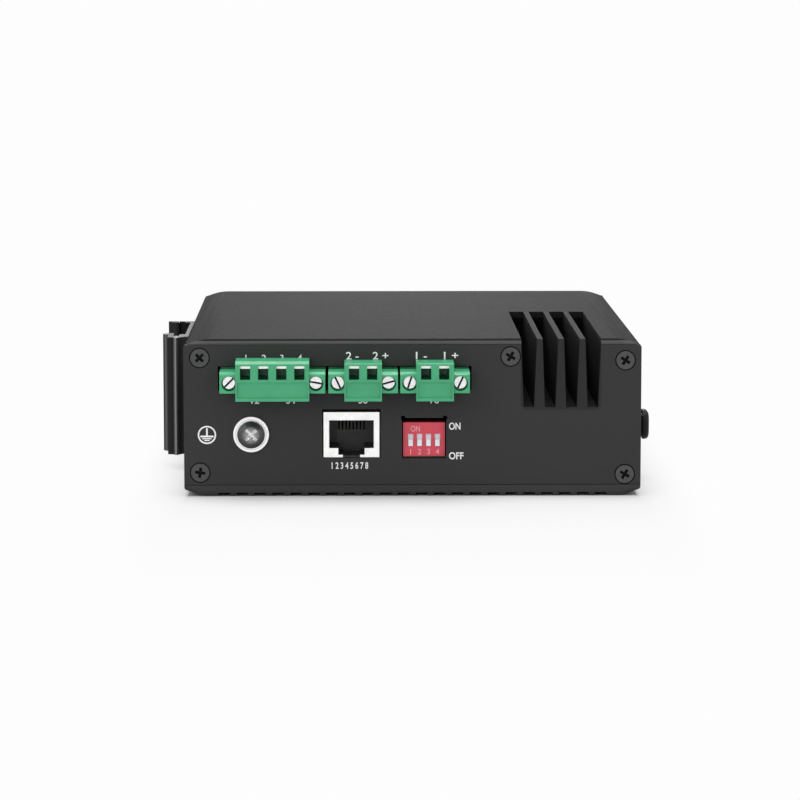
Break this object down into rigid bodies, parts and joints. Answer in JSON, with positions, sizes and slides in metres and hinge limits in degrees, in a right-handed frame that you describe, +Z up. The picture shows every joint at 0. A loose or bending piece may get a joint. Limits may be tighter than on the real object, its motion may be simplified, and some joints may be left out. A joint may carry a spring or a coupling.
{
  "type": "din rail ethernet switch",
  "caption": "Flat fan-less metal network switch with a rail clip on one side, pluggable green terminals, a console socket, an option switch and a finned heat sink at one end.",
  "frame": {"origin": "centre of the base's underside, on the plane that the grooved base rests on", "axes": "+Z up from the base to the top cover, -Y towards the terminal end, -X towards the rail clip, +X towards the network ports"},
  "size_m": [0.1445, 0.1575, 0.045],
  "materials": {
    "cover_coat": "powder coated, dark grey, slightly glossy",
    "panel_coat": "powder coated, fine grain, darker grey",
    "sink_coat": "powder coated, dark grey",
    "clip_coat": "black anodised extrusion",
    "black_steel": "blackened steel screws",
    "bright_steel": "nickel-plated steel",
    "spring_steel": "bare spring steel",
    "shield_steel": "tinned sheet metal",
    "brass_pins": "plated contact metal",
    "green_plastic": "moulded, satin",
    "red_plastic": "moulded, satin",
    "white_plastic": "moulded",
    "black_plastic": "moulded insert",
    "dust_rubber": "soft black rubber",
    "light_pipe": "clear light pipe",
    "board_glass": "green circuit board",
    "chip_plastic": "moulded component",
    "pad_rubber": "thermal pad",
    "plain_metal": "bare aluminium"
  },
  "bodies": {
    "casing": {"board_link": "chip_plastic", "board_standoffs": "bright_steel", "bottom_cover": "cover_coat", "capacitors": "plain_metal", "clamp_screws": "bright_steel", "clip_screws": "black_steel", "clip_spring": "spring_steel", "console_contacts": "brass_pins", "console_insert": "black_plastic", "console_shield": "shield_steel", "dust_plug": "dust_rubber", "earth_nut": "bright_steel", "earth_screw": "bright_steel", "earth_washer": "bright_steel", "far_end_panel": "panel_coat", "far_end_screws": "black_steel", "fibre_cage": "shield_steel", "header_pins": "brass_pins", "heat_bridge": "plain_metal", "heat_sink": "sink_coat", "main_board": "board_glass", "main_board_screws": "bright_steel", "near_end_panel": "panel_coat", "near_end_screws": "black_steel", "option_switch": "red_plastic", "plug_flange_screws": "bright_steel", "port_contacts": "brass_pins", "port_insert": "black_plastic", "port_shield": "shield_steel", "port_transformers": "chip_plastic", "port_wall": "panel_coat", "power_board": "board_glass", "power_board_pillars": "bright_steel", "power_board_screws": "bright_steel", "power_coil": "chip_plastic", "power_one_header": "green_plastic", "power_one_plug": "green_plastic", "power_two_header": "green_plastic", "power_two_plug": "green_plastic", "rail_clip": "clip_coat", "rail_wall": "panel_coat", "signal_header": "green_plastic", "signal_plug": "green_plastic", "status_lights": "light_pipe", "switch_chip": "chip_plastic", "thermal_pad": "pad_rubber", "top_cover": "cover_coat", "wire_clamps": "bright_steel"},
    "lever_1": {"option_lever_1": "white_plastic"},
    "lever_2": {"option_lever_2": "white_plastic"},
    "lever_3": {"option_lever_3": "white_plastic"},
    "lever_4": {"option_lever_4": "white_plastic"}
  },
  "joints": [
    {"name": "lever_1_slide", "type": "slide", "parent": "casing", "child": "lever_1", "axis": [0, 0, 1], "range_m": [0, 0.00153]},
    {"name": "lever_2_slide", "type": "slide", "parent": "casing", "child": "lever_2", "axis": [0, 0, 1], "range_m": [0, 0.00153]},
    {"name": "lever_3_slide", "type": "slide", "parent": "casing", "child": "lever_3", "axis": [0, 0, 1], "range_m": [0, 0.00153]},
    {"name": "lever_4_slide", "type": "slide", "parent": "casing", "child": "lever_4", "axis": [0, 0, 1], "range_m": [0, 0.00153]}
  ]
}
